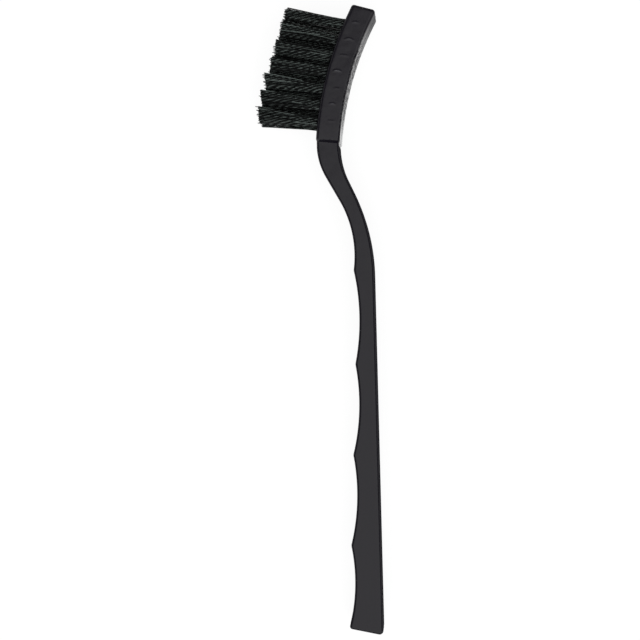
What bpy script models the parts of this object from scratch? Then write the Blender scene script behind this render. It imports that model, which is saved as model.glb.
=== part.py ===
"""Anti-static hand brush: a one-piece moulded handle and curved head, folded bristle tufts, and the
flat wire anchors that hold the tufts in their blind holes.

The pieces are drawn on the handle's own lines: x runs from the butt to the tip of the head, y from the
handle's straight back towards the bristles, and z across the width, with zero on the middle plane.
At the end the whole brush is laid on its side, with its box centred over the origin."""

import math
from collections import namedtuple

import bmesh
import bpy
from mathutils import Euler, Matrix, Vector

MM = 0.001

# Tuft field: three rows, the middle one set half a pitch on, so that no anchor meets its neighbour.
TUFTS_IN_OUTER_ROW = 7
TUFT_PITCH = 4.7 * MM
ROW_PITCH = 3.8 * MM
ROW_LEAN = math.radians(1.0)
HEEL_TUFT_LEAN = math.radians(7.0)
TIP_TUFT_LEAN = math.radians(11.7)
HOLE_DIAMETER = 3.2 * MM
HOLE_DEPTH = 5.2 * MM
CLEARANCE = 0.3 * MM

# Anchors: lengths of flat wire, longer than the hole is wide, so that both ends bite into its wall.
ANCHOR_THICKNESS = 0.35 * MM
ANCHOR_HEIGHT = 1.6 * MM
ANCHOR_BITE = 0.4 * MM
ANCHOR_DEPTH = 3.3 * MM
ANCHOR_EDGE = 0.05 * MM

# Bristles: each tuft is one folded bundle, drawn with fewer and thicker strands than the real one.
END_TUFT_LENGTH = 16.5 * MM
TRIM_SCATTER = 0.7 * MM
TUFT_TIP_RADIUS = 2.0 * MM
STRAND_SIDE = 0.3 * MM
STRAND_RINGS = 2
FOLD_CHAMFER = 0.35 * MM
ROOT_STAND = 0.1 * MM

# Handle: a straight back, and a front edge with finger grooves between low crests.
BUTT_SLANT = math.radians(12.1)
BUTT_HEIGHT = 9.55 * MM
GRIP_HEIGHT = 5.9 * MM
GRIP_PITCH = 25.1 * MM
GRIP_CRESTS = 3
SHANK_GROOVE_LENGTH = 26.05 * MM
SHANK_HEIGHT = 5.7 * MM
GROOVE_DEPTH = 1.35 * MM
CREST_RADIUS = 2.0 * MM
BUTT_CORNER_RADIUS = 1.1 * MM
BACK_RIM_RADIUS = 0.9 * MM
FRONT_RIM_RADIUS = 0.6 * MM

# Neck: an S-bend on each edge, drawn as straight lines with large rounds on their corners.
# A lower corner lies its reach beyond the last crest, an upper one its reach short of the head.
NECK_LENGTH = 35.7 * MM
NECK_WAIST_HEIGHT = 4.35 * MM
FRONT_LOWER_REACH = 10.75 * MM
FRONT_LOWER_RADIUS = 34.5 * MM
FRONT_UPPER_REACH = 5.4 * MM
FRONT_UPPER_RADIUS = 18.0 * MM
BACK_LOWER_REACH = 10.65 * MM
BACK_LOWER_RADIUS = 56.0 * MM
BACK_UPPER_REACH = 5.7 * MM
BACK_UPPER_RADIUS = 23.0 * MM
NECK_ROOT = 1.2 * MM

# Head: a slab bent to one radius, hollow at the back and crowned at the bristle face. It stands a
# little proud of the neck all round.
HEAD_FACE_RADIUS = 94.0 * MM
HEEL_FACE_HEIGHT = 15.27 * MM
HEEL_SLOPE = math.radians(4.35)
HEAD_FLOOR = 1.5 * MM
SIDE_WALL = 1.1 * MM
SHOULDER = 1.25 * MM
NECK_INSET = 0.2 * MM
HEEL_LAND = 5.85 * MM
TIP_LAND = 5.6 * MM
HEEL_END_LEAN = math.radians(7.0)
TIP_END_LEAN = math.radians(16.6)
TIP_FACE_CORNER = 1.1 * MM
TIP_BACK_CORNER = 0.85 * MM
HEEL_CORNER = 1.1 * MM
HEAD_BACK_RIM_RADIUS = 0.5 * MM
HEAD_FACE_RIM_RADIUS = 0.9 * MM

# Raised marks on the head's sides, where the ends of the outer anchors push the thin wall out.
MARK_LENGTH = 2.4 * MM
MARK_WIDTH = 1.0 * MM
MARK_HEIGHT = 0.12 * MM

# Fineness of the curves.
RIM_STEPS = 3
CORNER_STEPS = 4
CREST_STEPS = 2
GROOVE_STEPS = 10
BEND_STEPS = 10
HEAD_STEPS = 18
HOLE_SIDES = 16
ROOT_SIDES = 12
MARK_SUBDIVISIONS = 2
SMOOTH_ANGLE = math.radians(30.0)

# What follows from the sizes above.
HOLE_RADIUS = HOLE_DIAMETER / 2
ROOT_RADIUS = HOLE_RADIUS - CLEARANCE
ROOT_DEPTH = HOLE_DEPTH - CLEARANCE
HEAD_WIDTH = 2 * (ROW_PITCH + HOLE_RADIUS + SIDE_WALL)
HEAD_THICKNESS = HOLE_DEPTH + HEAD_FLOOR
HEAD_BACK_RADIUS = HEAD_FACE_RADIUS - HEAD_THICKNESS
HANDLE_WIDTH = HEAD_WIDTH - 2 * SHOULDER
SHANK_X = GRIP_CRESTS * GRIP_PITCH + SHANK_GROOVE_LENGTH
HEEL_X = SHANK_X + NECK_LENGTH
PITCH_ANGLE = TUFT_PITCH / HEAD_FACE_RADIUS
FIRST_TUFT_ANGLE = HEEL_SLOPE + HEEL_LAND / HEAD_FACE_RADIUS
LAST_TUFT_ANGLE = FIRST_TUFT_ANGLE + (TUFTS_IN_OUTER_ROW - 1) * PITCH_ANGLE
TIP_ANGLE = LAST_TUFT_ANGLE + TIP_LAND / HEAD_FACE_RADIUS
ANCHOR_LENGTH = HOLE_DIAMETER + 2 * ANCHOR_BITE

# How far a cutter runs past the face that it opens, and how much of their side the rounds may use.
OVERRUN = 1.0 * MM
ROUND_SHARE = 0.98
GOLDEN_SHARE = (math.sqrt(5) - 1) / 2

# A corner of an outline: its round, the steps in it, and the rim radius along the edge there.
Corner = namedtuple("Corner", "point radius steps rim")
# One place in the tuft field: the root's point on the bristle face, its turn and its free length.
Place = namedtuple("Place", "label row root turn length")


def clear_scene():
    for old in list(bpy.data.objects):
        bpy.data.objects.remove(old, do_unlink=True)


def make_material(name, colour, roughness, metallic):
    """A plain material, with its colour in linear values."""
    material = bpy.data.materials.new(name)
    material.use_nodes = True
    shader = material.node_tree.nodes["Principled BSDF"]
    shader.inputs["Base Color"].default_value = (*colour, 1.0)
    shader.inputs["Roughness"].default_value = roughness
    shader.inputs["Metallic"].default_value = metallic
    return material


def make_piece(name, solid, material=None):
    """A new object with the mesh that this bmesh holds."""
    bmesh.ops.recalc_face_normals(solid, faces=solid.faces[:])
    mesh = bpy.data.meshes.new(name)
    solid.to_mesh(mesh)
    solid.free()
    piece = bpy.data.objects.new(name, mesh)
    bpy.context.scene.collection.objects.link(piece)
    if material:
        mesh.materials.append(material)
    return piece


def combine(piece, operation, other):
    """Join the other solid to the piece, or cut it out, and remove it."""
    modifier = piece.modifiers.new(operation.title(), "BOOLEAN")
    modifier.operation = operation
    modifier.object = other
    graph = bpy.context.evaluated_depsgraph_get()
    plain_mesh = piece.data
    piece.data = bpy.data.meshes.new_from_object(piece.evaluated_get(graph))
    piece.modifiers.clear()
    bpy.data.meshes.remove(plain_mesh)
    bpy.data.objects.remove(other, do_unlink=True)


def smooth(piece):
    piece.data.shade_smooth()
    piece.data.set_sharp_from_angle(angle=SMOOTH_ANGLE)


def along(angle):
    """The unit vector that leans from the y axis towards the head's tip by this angle."""
    return Vector((math.sin(angle), math.cos(angle)))


HEAD_CENTRE = Vector((HEEL_X, HEEL_FACE_HEIGHT)) - HEAD_FACE_RADIUS * along(HEEL_SLOPE)


def head_arc(radius, angle):
    """A point on a circle about the head's centre."""
    return HEAD_CENTRE + radius * along(angle)


def back_end(angle, lean):
    """The angle at which the line from the bristle face at the first angle, leaning by the second,
    comes out at the head's back: both ends of the head are cut along such lines."""
    start = HEAD_FACE_RADIUS * along(angle)
    half = start.dot(along(lean))
    depth = half - math.sqrt(half**2 - HEAD_FACE_RADIUS**2 + HEAD_BACK_RADIUS**2)
    end = start - depth * along(lean)
    return math.atan2(end.x, end.y)


def fillet(corner, before, after):
    """The points of the round that replaces a corner. Two rounds share the side between them by their
    radii, and a round whose sides are too short for its radius is as large as they allow."""
    to_before = before.point - corner.point
    to_after = after.point - corner.point
    half_angle = to_before.angle(to_after) / 2
    room_before = to_before.length * corner.radius / (corner.radius + before.radius)
    room_after = to_after.length * corner.radius / (corner.radius + after.radius)
    reach = min(corner.radius / math.tan(half_angle), ROUND_SHARE * min(room_before, room_after))
    bisector = (to_before.normalized() + to_after.normalized()).normalized()
    centre = corner.point + bisector * reach / math.cos(half_angle)
    spoke = corner.point + to_before.normalized() * reach - centre
    last_spoke = corner.point + to_after.normalized() * reach - centre
    turn = -spoke.angle_signed(last_spoke)
    steps = corner.steps
    return [centre + Matrix.Rotation(turn * step / steps, 2) @ spoke for step in range(steps + 1)]


def rounded_outline(corners):
    """The points of a closed outline, each with the rim radius there, after its corners are rounded. A
    rim is no larger than the round that it follows."""
    outline = []
    for index, corner in enumerate(corners):
        points, rim = [corner.point], corner.rim
        if corner.radius:
            points = fillet(corner, corners[index - 1], corners[(index + 1) % len(corners)])
            rim = min(rim, corner.radius)
        outline += [(point, rim) for point in points]
    return outline


def inward_at(outline, index):
    """The step that moves a point of an anticlockwise outline one unit inside both its sides."""
    point = outline[index][0]
    arriving = (point - outline[index - 1][0]).normalized()
    leaving = (outline[(index + 1) % len(outline)][0] - point).normalized()
    first = Vector((-arriving.y, arriving.x))
    second = Vector((-leaving.y, leaving.x))
    return (first + second) / (1 + first.dot(second))


def rounded_slab(outline, width):
    """A closed solid of this outline, with two flat sides and rounded rims."""
    solid = bmesh.new()
    inwards = [inward_at(outline, index) for index in range(len(outline))]
    upper_rings = []
    lower_rings = []
    for step in range(RIM_STEPS + 1):
        turn = math.pi / 2 * step / RIM_STEPS
        upper = []
        lower = []
        for (point, rim), inward in zip(outline, inwards):
            place = point + inward * rim * (1 - math.sin(turn))
            height = width / 2 - rim * (1 - math.cos(turn))
            upper.append(solid.verts.new((*place, height)))
            lower.append(solid.verts.new((*place, -height)))
        upper_rings.append(upper)
        lower_rings.insert(0, lower)
    rings = upper_rings + lower_rings
    solid.faces.new(rings[0])
    solid.faces.new(reversed(rings[-1]))
    for ring, next_ring in zip(rings, rings[1:]):
        for index in range(len(outline)):
            solid.faces.new((ring[index - 1], next_ring[index - 1], next_ring[index], ring[index]))
    return solid


def groove_points(start, end):
    """The points between two crests, on an arc that dips into the handle."""
    chord = end - start
    radius = chord.length**2 / (8 * GROOVE_DEPTH) + GROOVE_DEPTH / 2
    inwards = Vector((-chord.y, chord.x)).normalized()
    centre = start + chord / 2 + inwards * (GROOVE_DEPTH - radius)
    half_turn = math.asin(chord.length / (2 * radius))
    points = []
    for step in range(1, GROOVE_STEPS):
        turn = half_turn * (1 - 2 * step / GROOVE_STEPS)
        points.append(centre + Matrix.Rotation(turn, 2) @ inwards * radius)
    return points


def crest_points():
    """The crests along the handle's front, from the one below the neck to the butt's front corner."""
    taper = (BUTT_HEIGHT - GRIP_HEIGHT) / (GRIP_CRESTS * GRIP_PITCH)
    crests = [Vector((SHANK_X, SHANK_HEIGHT))]
    for number in range(GRIP_CRESTS, 0, -1):
        distance = number * GRIP_PITCH
        crests.append(Vector((distance, BUTT_HEIGHT - taper * distance)))
    butt_height = BUTT_HEIGHT / (1 + taper * math.tan(BUTT_SLANT))
    crests.append(Vector((butt_height * math.tan(BUTT_SLANT), butt_height)))
    return crests


def bend(x, y, radius, rim):
    """A corner of the handle's outline with a long round on it."""
    return Corner(Vector((x, y)), radius, BEND_STEPS, rim)


def handle_corners():
    """The handle's outline, along the back from the butt into the head and along the front again."""
    heel_back = head_arc(HEAD_BACK_RADIUS, back_end(HEEL_SLOPE, HEEL_END_LEAN))
    neck_back = heel_back.y + NECK_INSET
    neck_front = HEEL_FACE_HEIGHT - NECK_INSET
    neck_end = HEEL_X + NECK_ROOT
    corners = [
        Corner(Vector((0, 0)), BUTT_CORNER_RADIUS, CORNER_STEPS, BACK_RIM_RADIUS),
        bend(SHANK_X + BACK_LOWER_REACH, 0, BACK_LOWER_RADIUS, BACK_RIM_RADIUS),
        bend(HEEL_X - BACK_UPPER_REACH, neck_back, BACK_UPPER_RADIUS, BACK_RIM_RADIUS),
        bend(neck_end, neck_back, 0, BACK_RIM_RADIUS),
        bend(neck_end, neck_front, 0, FRONT_RIM_RADIUS),
        bend(HEEL_X - FRONT_UPPER_REACH, neck_front, FRONT_UPPER_RADIUS, FRONT_RIM_RADIUS),
        bend(SHANK_X + FRONT_LOWER_REACH, NECK_WAIST_HEIGHT, FRONT_LOWER_RADIUS, FRONT_RIM_RADIUS),
    ]
    crests = crest_points()
    for crest, next_crest in zip(crests, crests[1:]):
        corners.append(Corner(crest, CREST_RADIUS, CREST_STEPS, FRONT_RIM_RADIUS))
        corners += [Corner(point, 0, 0, FRONT_RIM_RADIUS) for point in groove_points(crest, next_crest)]
    corners.append(Corner(crests[-1], BUTT_CORNER_RADIUS, CORNER_STEPS, FRONT_RIM_RADIUS))
    return corners


def head_corners():
    """The head's outline, along the back from heel to tip and along the bristle face again."""
    back_heel = back_end(HEEL_SLOPE, HEEL_END_LEAN)
    back_tip = back_end(TIP_ANGLE, TIP_END_LEAN)
    edges = (
        (HEAD_BACK_RADIUS, back_heel, back_tip, HEEL_CORNER, TIP_BACK_CORNER, HEAD_BACK_RIM_RADIUS),
        (HEAD_FACE_RADIUS, TIP_ANGLE, HEEL_SLOPE, TIP_FACE_CORNER, HEEL_CORNER, HEAD_FACE_RIM_RADIUS),
    )
    corners = []
    for radius, first, last, first_round, last_round, rim in edges:
        for step in range(HEAD_STEPS + 1):
            angle = first + (last - first) * step / HEAD_STEPS
            corner_round = {0: first_round, HEAD_STEPS: last_round}.get(step, 0)
            corners.append(Corner(head_arc(radius, angle), corner_round, CORNER_STEPS, rim))
    corners[0] = corners[0]._replace(rim=HEAD_FACE_RIM_RADIUS)
    return corners


def tuft_lean(steps):
    """The lean of the tuft that stands this many pitches on from the first."""
    return HEEL_TUFT_LEAN + (TIP_TUFT_LEAN - HEEL_TUFT_LEAN) * steps / (TUFTS_IN_OUTER_ROW - 1)


def trimmed_length(root, lean):
    """The length at which a tuft meets the straight trim line through the tips of the two end tufts."""
    last = TUFTS_IN_OUTER_ROW - 1
    first_tip = head_arc(HEAD_FACE_RADIUS, FIRST_TUFT_ANGLE) + END_TUFT_LENGTH * along(tuft_lean(0))
    last_tip = head_arc(HEAD_FACE_RADIUS, LAST_TUFT_ANGLE) + END_TUFT_LENGTH * along(tuft_lean(last))
    trim = last_tip - first_tip
    return (first_tip - root).cross(trim) / along(lean).cross(trim)


def tuft_places():
    """Every place in the tuft field, row by row from the heel."""
    places = []
    for row, row_name in ((-1, "lower"), (0, "middle"), (1, "upper")):
        shift = 0 if row else 0.5
        for number in range(TUFTS_IN_OUTER_ROW - (row == 0)):
            steps = number + shift
            lean = tuft_lean(steps)
            root = head_arc(HEAD_FACE_RADIUS, FIRST_TUFT_ANGLE + steps * PITCH_ANGLE)
            turn = Euler((row * ROW_LEAN - math.pi / 2, 0, -lean))
            label = f"{row_name}_{number + 1}"
            full_root = Vector((*root, row * ROW_PITCH))
            places.append(Place(label, row, full_root, turn, trimmed_length(root, lean)))
    return places


def place_matrix(place):
    """From a tuft's own lines, z up along it and y across the width, to the brush's."""
    return Matrix.Translation(place.root) @ place.turn.to_matrix().to_4x4()


def add_box(solid, matrix, size, centre_height):
    """A box about the z axis of this matrix."""
    box = matrix @ Matrix.Translation((0, 0, centre_height)) @ Matrix.Diagonal((*size, 1))
    bmesh.ops.create_cube(solid, size=1, matrix=box)


def anchor_room(length):
    """The size of the room round an anchor, of this length across the brush."""
    return (ANCHOR_THICKNESS + 2 * CLEARANCE, length, ANCHOR_HEIGHT + 2 * CLEARANCE)


def build_body(places, material):
    """The one-piece moulding: handle, neck and head, with the tuft holes and the anchors' seats."""
    body = make_piece("body", rounded_slab(rounded_outline(handle_corners()), HANDLE_WIDTH), material)
    combine(body, "UNION", make_piece("head", rounded_slab(rounded_outline(head_corners()), HEAD_WIDTH)))
    combine(body, "UNION", make_piece("marks", mark_solids(places)))
    combine(body, "DIFFERENCE", make_piece("holes", hole_solids(places)))
    combine(body, "DIFFERENCE", make_piece("seats", seat_solids(places)))
    smooth(body)
    return body


def mark_solids(places):
    """Low swellings on both sides of the head, over the ends of the outer rows' anchors."""
    solid = bmesh.new()
    for place in places:
        if place.row == 0:
            continue
        middle = place_matrix(place) @ Vector((0, 0, -ANCHOR_DEPTH))
        middle.z = place.row * HEAD_WIDTH / 2
        turn = Matrix.Rotation(place.turn.z, 4, "Z")
        size = Matrix.Diagonal((MARK_WIDTH / 2, MARK_LENGTH / 2, MARK_HEIGHT, 1))
        bmesh.ops.create_icosphere(
            solid,
            subdivisions=MARK_SUBDIVISIONS,
            radius=1,
            matrix=Matrix.Translation(middle) @ turn @ size,
        )
    return solid


def hole_solids(places):
    """The blind holes, each along the line of its own tuft."""
    solid = bmesh.new()
    for place in places:
        middle = Matrix.Translation((0, 0, (OVERRUN - HOLE_DEPTH) / 2))
        bmesh.ops.create_cone(
            solid,
            cap_ends=True,
            segments=HOLE_SIDES,
            radius1=HOLE_RADIUS,
            radius2=HOLE_RADIUS,
            depth=HOLE_DEPTH + OVERRUN,
            matrix=place_matrix(place) @ middle,
        )
    return solid


def seat_solids(places):
    """The seats that the anchors' ends have bitten into the walls of the holes."""
    solid = bmesh.new()
    for place in places:
        add_box(solid, place_matrix(place), anchor_room(ANCHOR_LENGTH + 2 * CLEARANCE), -ANCHOR_DEPTH)
    return solid


def build_anchor(place, material):
    """A length of flat wire across the hole, with its cut edges just broken."""
    solid = bmesh.new()
    add_box(solid, Matrix.Identity(4), (ANCHOR_THICKNESS, ANCHOR_LENGTH, ANCHOR_HEIGHT), 0)
    bmesh.ops.bevel(solid, geom=solid.edges[:], offset=ANCHOR_EDGE, segments=1, affect="EDGES")
    anchor = make_piece(f"anchor_{place.label}", solid, material)
    anchor.location = place_matrix(place) @ Vector((0, 0, -ANCHOR_DEPTH))
    anchor.rotation_euler = place.turn
    return anchor


def root_ring(solid, radius, height):
    """One ring of the tuft's root."""
    ring = []
    for side in range(ROOT_SIDES):
        angle = 2 * math.pi * side / ROOT_SIDES
        ring.append(solid.verts.new((radius * math.cos(angle), radius * math.sin(angle), height)))
    return ring


def wall_between(solid, lower, upper):
    for index in range(len(lower)):
        solid.faces.new((lower[index - 1], lower[index], upper[index], upper[index - 1]))


def ring_edges(solid, ring):
    return [solid.edges.get((ring[index - 1], ring[index])) for index in range(len(ring))]


def strand_ends():
    """The direction of each strand from the tuft's middle, and how far out its foot and its tip are."""
    foot_step = (ROOT_RADIUS - STRAND_SIDE) / STRAND_RINGS
    tip_step = (TUFT_TIP_RADIUS - STRAND_SIDE / 2) / STRAND_RINGS
    ends = []
    for ring in range(STRAND_RINGS + 1):
        count = max(1, 6 * ring)
        for number in range(count):
            angle = 2 * math.pi * (number + ring / 2) / count
            ends.append((angle, ring * foot_step, ring * tip_step))
    return ends


def strand_ring(solid, angle, distance, height):
    """The four corners of a strand at this distance from the tuft's middle."""
    outwards = Vector((math.cos(angle), math.sin(angle), 0))
    sideways = Vector((-outwards.y, outwards.x, 0))
    middle = outwards * distance + Vector((0, 0, height))
    half = STRAND_SIDE / 2
    signs = ((-1, -1), (1, -1), (1, 1), (-1, 1))
    return [solid.verts.new(middle + half * (out * outwards + side * sideways)) for out, side in signs]


def build_tuft(place, first_strand, material):
    """One bundle of bristles, folded round its anchor, with the strands fused to the fold's top."""
    solid = bmesh.new()
    fold = root_ring(solid, ROOT_RADIUS - FOLD_CHAMFER, -ROOT_DEPTH)
    shoulder = root_ring(solid, ROOT_RADIUS, FOLD_CHAMFER - ROOT_DEPTH)
    top = root_ring(solid, ROOT_RADIUS, ROOT_STAND)
    solid.faces.new(fold)
    wall_between(solid, fold, shoulder)
    wall_between(solid, shoulder, top)
    rims = ring_edges(solid, top)
    for number, (angle, foot_distance, tip_distance) in enumerate(strand_ends()):
        share = (first_strand + number) * GOLDEN_SHARE % 1
        height = place.length + TRIM_SCATTER * (share - 0.5)
        foot = strand_ring(solid, angle, foot_distance, ROOT_STAND)
        tip = strand_ring(solid, angle, tip_distance, height)
        wall_between(solid, foot, tip)
        solid.faces.new(tip)
        rims += ring_edges(solid, foot)
    bmesh.ops.triangle_fill(solid, edges=rims, use_beauty=True)
    tuft = make_piece(f"tuft_{place.label}", solid, material)
    window = bmesh.new()
    add_box(window, Matrix.Identity(4), anchor_room(2 * (ROOT_RADIUS + OVERRUN)), -ANCHOR_DEPTH)
    combine(tuft, "DIFFERENCE", make_piece("window", window))
    tuft.location = place.root
    tuft.rotation_euler = place.turn
    return tuft


def lay_down(pieces):
    """Put the pieces on one frame, and set it so that the brush's box stands centred on the origin."""
    frame = bpy.data.objects.new("brush", None)
    bpy.context.scene.collection.objects.link(frame)
    bpy.context.view_layer.update()
    corners = [piece.matrix_world @ vertex.co for piece in pieces for vertex in piece.data.vertices]
    low = Vector([min(corner[axis] for corner in corners) for axis in range(3)])
    high = Vector([max(corner[axis] for corner in corners) for axis in range(3)])
    for piece in pieces:
        piece.parent = frame
    frame.location = -Vector(((low.x + high.x) / 2, (low.y + high.y) / 2, low.z))


def build_brush():
    clear_scene()
    handle_plastic = make_material("black_polypropylene", (0.037, 0.037, 0.040), 0.45, 0.0)
    bristle_nylon = make_material("black_nylon", (0.012, 0.013, 0.013), 0.35, 0.0)
    anchor_steel = make_material("steel_wire", (0.55, 0.54, 0.52), 0.35, 1.0)
    places = tuft_places()
    pieces = [build_body(places, handle_plastic)]
    strands_in_tuft = len(strand_ends())
    for number, place in enumerate(places):
        pieces.append(build_anchor(place, anchor_steel))
        pieces.append(build_tuft(place, number * strands_in_tuft, bristle_nylon))
    lay_down(pieces)


build_brush()
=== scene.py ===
"""Anti-static hand brush: a black moulded handle with a curved head, and three rows of black bristle
tufts that flat wire anchors hold in their holes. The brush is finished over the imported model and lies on
its side on a white floor, as it was photographed from above.

The handle and the tufts are drawn on the brush's own lines: x runs from the butt to the tip of the head,
y from the handle's straight back towards the bristles, and z across the width, with zero on the middle
plane. put_in_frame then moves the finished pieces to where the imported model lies."""

import math
from collections import namedtuple

import bmesh
import bpy
from mathutils import Euler, Matrix, Vector


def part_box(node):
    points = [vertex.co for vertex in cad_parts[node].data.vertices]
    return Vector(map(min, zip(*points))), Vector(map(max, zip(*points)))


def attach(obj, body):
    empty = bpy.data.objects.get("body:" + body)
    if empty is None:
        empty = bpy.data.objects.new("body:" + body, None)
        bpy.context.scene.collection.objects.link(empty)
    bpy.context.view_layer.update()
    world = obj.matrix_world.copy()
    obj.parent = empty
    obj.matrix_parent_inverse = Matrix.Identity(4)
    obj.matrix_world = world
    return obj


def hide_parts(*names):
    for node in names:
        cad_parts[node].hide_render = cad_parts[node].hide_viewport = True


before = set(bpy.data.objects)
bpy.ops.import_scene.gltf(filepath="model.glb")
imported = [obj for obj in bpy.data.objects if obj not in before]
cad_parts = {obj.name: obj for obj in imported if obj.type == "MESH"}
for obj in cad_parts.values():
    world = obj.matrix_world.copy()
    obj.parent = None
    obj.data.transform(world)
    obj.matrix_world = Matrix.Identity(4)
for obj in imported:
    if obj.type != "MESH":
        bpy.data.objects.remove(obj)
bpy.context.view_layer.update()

MM = 0.001

# Tuft field.
TUFTS_IN_OUTER_ROW = 7
TUFT_PITCH = 4.7 * MM
ROW_PITCH = 3.8 * MM
ROW_LEAN = math.radians(1.0)
HEEL_TUFT_LEAN = math.radians(7.0)
TIP_TUFT_LEAN = math.radians(11.7)
HOLE_DIAMETER = 3.2 * MM
HOLE_DEPTH = 5.2 * MM
END_TUFT_LENGTH = 16.5 * MM
ANCHOR_DEPTH = 3.3 * MM

# Handle.
BUTT_SLANT = math.radians(12.1)
BUTT_HEIGHT = 9.55 * MM
GRIP_HEIGHT = 5.9 * MM
GRIP_PITCH = 25.1 * MM
GRIP_CRESTS = 3
SHANK_GROOVE_LENGTH = 26.05 * MM
SHANK_HEIGHT = 5.7 * MM
GROOVE_DEPTH = 1.35 * MM
CREST_RADIUS = 2.0 * MM
BUTT_CORNER_RADIUS = 1.1 * MM
BACK_RIM_RADIUS = 0.9 * MM
FRONT_RIM_RADIUS = 0.8 * MM

# Neck.
NECK_LENGTH = 35.7 * MM
NECK_WAIST_HEIGHT = 4.35 * MM
FRONT_LOWER_REACH = 10.75 * MM
FRONT_LOWER_RADIUS = 34.5 * MM
FRONT_UPPER_REACH = 5.4 * MM
FRONT_UPPER_RADIUS = 18.0 * MM
BACK_LOWER_REACH = 10.65 * MM
BACK_LOWER_RADIUS = 56.0 * MM
BACK_UPPER_REACH = 5.7 * MM
BACK_UPPER_RADIUS = 23.0 * MM
NECK_ROOT = 1.2 * MM

# Head.
HEAD_FACE_RADIUS = 94.0 * MM
HEEL_FACE_HEIGHT = 15.27 * MM
HEEL_SLOPE = math.radians(4.35)
HEAD_THICKNESS = 6.7 * MM
HEAD_WIDTH = 13.0 * MM
HANDLE_WIDTH = 10.5 * MM
NECK_INSET = 0.2 * MM
HEEL_LAND = 5.85 * MM
TIP_LAND = 5.6 * MM
HEEL_END_LEAN = math.radians(7.0)
TIP_END_LEAN = math.radians(16.6)
TIP_FACE_CORNER = 0.75 * MM
TIP_BACK_CORNER = 0.85 * MM
HEEL_CORNER = 1.1 * MM
HEAD_BACK_RIM_RADIUS = 0.8 * MM
HEAD_FACE_RIM_RADIUS = 0.9 * MM

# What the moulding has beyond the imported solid: a seam where the mould parts, chamfered hole mouths, sides
# that draw in a little at the heel and towards the bristle face, and a heel that slopes down to the neck.
SEAM_WIDTH = 0.16 * MM
SEAM_HEIGHT = 0.04 * MM
MOUTH_CHAMFER = 0.15 * MM
HEEL_DRAW_IN = 0.22 * MM
HEEL_DRAW_LENGTH = 6.5 * MM
HEEL_STEP_WIDTH = 1.0 * MM
FACE_DRAW_IN = 0.2 * MM
FACE_DRAW_WIDTH = 1.3 * MM

# Ridges that the anchors' ends push up on the head's sides, for each tuft from the heel, in millimetres:
# height, length along the tuft, how far the middle lies from the anchor towards the head's back and towards
# its tip, and how far it bows. A ridge falls away more steeply towards the tip.
Ridge = namedtuple("Ridge", "height length shift across bow")
RIDGE_WIDTH = 0.9 * MM
RIDGE_TIP_STEEPNESS = 1.6
NEAR_RIDGES = (
    Ridge(0.07, 2.2, 0.60, 0.35, 0.00),
    Ridge(0.12, 2.2, 0.25, 0.35, 0.12),
    Ridge(0.05, 2.0, 0.70, 0.10, 0.10),
    Ridge(0.17, 2.7, -0.30, 0.25, 0.18),
    Ridge(0.06, 3.0, 0.20, 0.15, 0.10),
    Ridge(0.12, 3.0, 0.10, 0.10, 0.22),
    Ridge(0.09, 2.2, 0.00, 0.50, 0.10),
)
FAR_RIDGES = (
    Ridge(0.10, 2.4, 0.10, 0.20, 0.12),
    Ridge(0.06, 2.0, 0.40, 0.10, 0.10),
    Ridge(0.13, 2.6, -0.30, 0.30, 0.16),
    Ridge(0.09, 2.2, 0.20, 0.15, 0.10),
    Ridge(0.12, 2.8, -0.50, 0.25, 0.20),
    Ridge(0.06, 2.1, 0.50, 0.10, 0.10),
    Ridge(0.11, 2.4, 0.00, 0.40, 0.14),
)

# Fineness of the curves.
RIM_STEPS = 9
CORNER_STEPS = 10
CREST_STEPS = 6
GROOVE_STEPS = 28
BEND_STEPS = 28
HEAD_STEPS = 18
HOLE_SIDES = 28
SIDE_CELL = 0.2 * MM
SMOOTH_ANGLE = math.radians(32.0)
# How much of its side a round may take, how far a cutting solid runs on past a surface, and how little a
# point or a normal may differ from those of a flat side.
ROUND_SHARE = 0.98
OVERRUN = 1.0 * MM
FLAT_MARGIN = 0.01 * MM
FLAT_FACING = 0.99

# Where the finish changes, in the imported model's frame: x from the middle of the brush's length towards the
# head, and the height of its middle plane over the floor.
UNEVEN_SKIN_X = 50 * MM
PEBBLED_MIDDLE_X = 66 * MM
PEBBLED_REACH = 14 * MM
FULLY_PEBBLED_REACH = 8 * MM
POLISH_END_X = 74 * MM
DULL_TIP_X = 82 * MM
MIDDLE_HEIGHT = 6.63 * MM
# How proud of the head's side the ridges begin to be painted paler, a painted highlight, and where they are
# palest.
PALE_START = 0.03 * MM
PALE_FULL = 0.15 * MM
# A face of the handle is narrow where the part of its normal across the brush is smaller than this.
NARROW_FACING = 0.72

# What follows from the sizes above.
HOLE_RADIUS = HOLE_DIAMETER / 2
HEAD_BACK_RADIUS = HEAD_FACE_RADIUS - HEAD_THICKNESS
SHANK_X = GRIP_CRESTS * GRIP_PITCH + SHANK_GROOVE_LENGTH
HEEL_X = SHANK_X + NECK_LENGTH
PITCH_ANGLE = TUFT_PITCH / HEAD_FACE_RADIUS
FIRST_TUFT_ANGLE = HEEL_SLOPE + HEEL_LAND / HEAD_FACE_RADIUS
LAST_TUFT_ANGLE = FIRST_TUFT_ANGLE + (TUFTS_IN_OUTER_ROW - 1) * PITCH_ANGLE
TIP_ANGLE = LAST_TUFT_ANGLE + TIP_LAND / HEAD_FACE_RADIUS

# A corner of an outline: its round, the steps in it, and the rim radius along the edge there.
Corner = namedtuple("Corner", "point radius steps rim")
# One place in the tuft field: the root's point on the bristle face, its turn and its free length.
Place = namedtuple("Place", "row number root turn length")


def linear(hex_colour):
    """The linear colour of an sRGB hex value."""
    channels = [int(hex_colour[start : start + 2], 16) / 255 for start in (1, 3, 5)]
    return (*[c / 12.92 if c <= 0.04045 else ((c + 0.055) / 1.055) ** 2.4 for c in channels], 1.0)


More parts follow.
